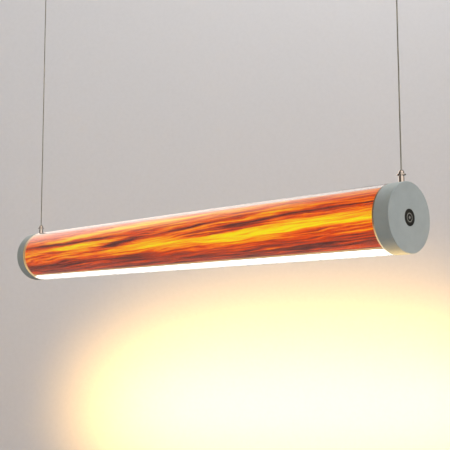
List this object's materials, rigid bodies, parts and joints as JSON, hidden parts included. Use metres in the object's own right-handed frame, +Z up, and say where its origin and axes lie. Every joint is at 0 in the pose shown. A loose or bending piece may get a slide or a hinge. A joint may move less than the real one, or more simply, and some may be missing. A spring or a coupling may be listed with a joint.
{
  "type": "linear pendant lamp",
  "caption": "Long tubular pendant lamp: a wood-veneer shade lit inside a clear tube, a light slot below, grey end caps and two adjustable hanging cables.",
  "frame": {"origin": "on the ceiling plane, midway between the two ceiling screws", "axes": "+X along the lamp, +Z up into the ceiling, +Y across the lamp"},
  "size_m": [0.9564, 0.1, 0.67],
  "materials": {
    "cap_paint": "fine matt grey powder coat",
    "badge_black": "satin black",
    "emblem_metal": "brushed",
    "clear_acrylic": "clear polished acrylic",
    "veneer": "thin lit veneer with a flame-like grain along the tube",
    "shade_liner": "translucent backing film",
    "edge_veneer": "pale edge band",
    "opal_plastic": "opal, lit from behind",
    "seal_silicone": "translucent white silicone",
    "spine_aluminium": "mill finish",
    "reflector_white": "white gloss paint",
    "board_white": "white solder resist",
    "led_package": "yellow phosphor",
    "screw_steel": "bright zinc",
    "nickel_plate": "polished nickel",
    "plain_brass": "turned",
    "cable_steel": "stranded wire rope",
    "nylon_white": "moulded nylon",
    "grommet_rubber": "soft black rubber",
    "lead_sleeve": "smooth white sleeve"
  },
  "bodies": {
    "ceiling_fittings": {"left_ceiling_base": "nickel_plate", "right_ceiling_base": "nickel_plate", "left_ceiling_cup": "nickel_plate", "right_ceiling_cup": "nickel_plate", "left_ball_retainer": "plain_brass", "right_ball_retainer": "plain_brass", "feed_terminals": "plain_brass"},
    "swivels": {"left_swivel_ball": "plain_brass", "right_swivel_ball": "plain_brass"},
    "left_cable_run": {"left_cable": "cable_steel", "left_cable_nipple": "plain_brass"},
    "right_cable_run": {"right_cable": "cable_steel", "right_cable_nipple": "plain_brass"},
    "lamp": {"badge_emblems": "emblem_metal", "clear_tube": "clear_acrylic", "down_led_board": "board_white", "down_leds": "led_package", "down_reflector": "reflector_white", "edge_bands": "edge_veneer", "front_led_board": "board_white", "front_leds": "led_package", "gripper_nuts": "nickel_plate", "gripper_washers": "nickel_plate", "left_badge": "badge_black", "left_bulkhead": "spine_aluminium", "left_cable_ferrule": "nickel_plate", "left_cable_tail": "cable_steel", "left_end_cap": "cap_paint", "left_end_seal": "seal_silicone", "left_gripper_body": "nickel_plate", "left_gripper_insulator": "nylon_white", "left_gripper_spring": "screw_steel", "left_grommet": "grommet_rubber", "left_lead": "lead_sleeve", "left_terminal_block": "nylon_white", "opal_diffuser": "opal_plastic", "rear_led_board": "board_white", "rear_leds": "led_package", "right_badge": "badge_black", "right_bulkhead": "spine_aluminium", "right_cable_ferrule": "nickel_plate", "right_cable_tail": "cable_steel", "right_end_cap": "cap_paint", "right_end_seal": "seal_silicone", "right_gripper_body": "nickel_plate", "right_gripper_insulator": "nylon_white", "right_gripper_spring": "screw_steel", "right_grommet": "grommet_rubber", "right_lead": "lead_sleeve", "right_terminal_block": "nylon_white", "shade_liner": "shade_liner", "spine": "spine_aluminium", "spine_screws": "screw_steel", "tie_screws": "screw_steel", "veneer_shade": "veneer"},
    "left_release": {"left_release_plunger": "nickel_plate", "left_grip_balls": "screw_steel"},
    "right_release": {"right_release_plunger": "nickel_plate", "right_grip_balls": "screw_steel"}
  },
  "joints": [
    {"name": "swing_sideways", "type": "hinge", "parent": "ceiling_fittings", "child": "swivels", "pos_m": [0, 0, -0.028], "axis": [1, 0, 0], "range_deg": [-20, 20]},
    {"name": "sway_lengthways", "type": "hinge", "parent": "swivels", "child": "left_cable_run", "pos_m": [-0.46325, 0, -0.028], "axis": [0, 1, 0], "range_deg": [-10, 10]},
    {"name": "right_cable_sway", "type": "hinge", "parent": "swivels", "child": "right_cable_run", "pos_m": [0.46325, 0, -0.028], "axis": [0, 1, 0], "range_deg": [-10, 10]},
    {"name": "lamp_stays_level", "type": "hinge", "parent": "left_cable_run", "child": "lamp", "pos_m": [-0.46325, 0, -0.553], "axis": [0, 1, 0], "range_deg": [-10, 10]},
    {"name": "press_left_release", "type": "slide", "parent": "lamp", "child": "left_release", "axis": [0, 0, -1], "range_m": [0, 0.0012], "stiffness_N_per_m": 1500, "springref_m": -0.002, "deforming": ["left_gripper_spring"]},
    {"name": "press_right_release", "type": "slide", "parent": "lamp", "child": "right_release", "axis": [0, 0, -1], "range_m": [0, 0.0012], "stiffness_N_per_m": 1500, "springref_m": -0.002, "deforming": ["right_gripper_spring"]}
  ],
  "couplings": [
    {"joint": "right_cable_sway", "follows": "sway_lengthways", "ratio": 1},
    {"joint": "lamp_stays_level", "follows": "sway_lengthways", "ratio": -1}
  ]
}
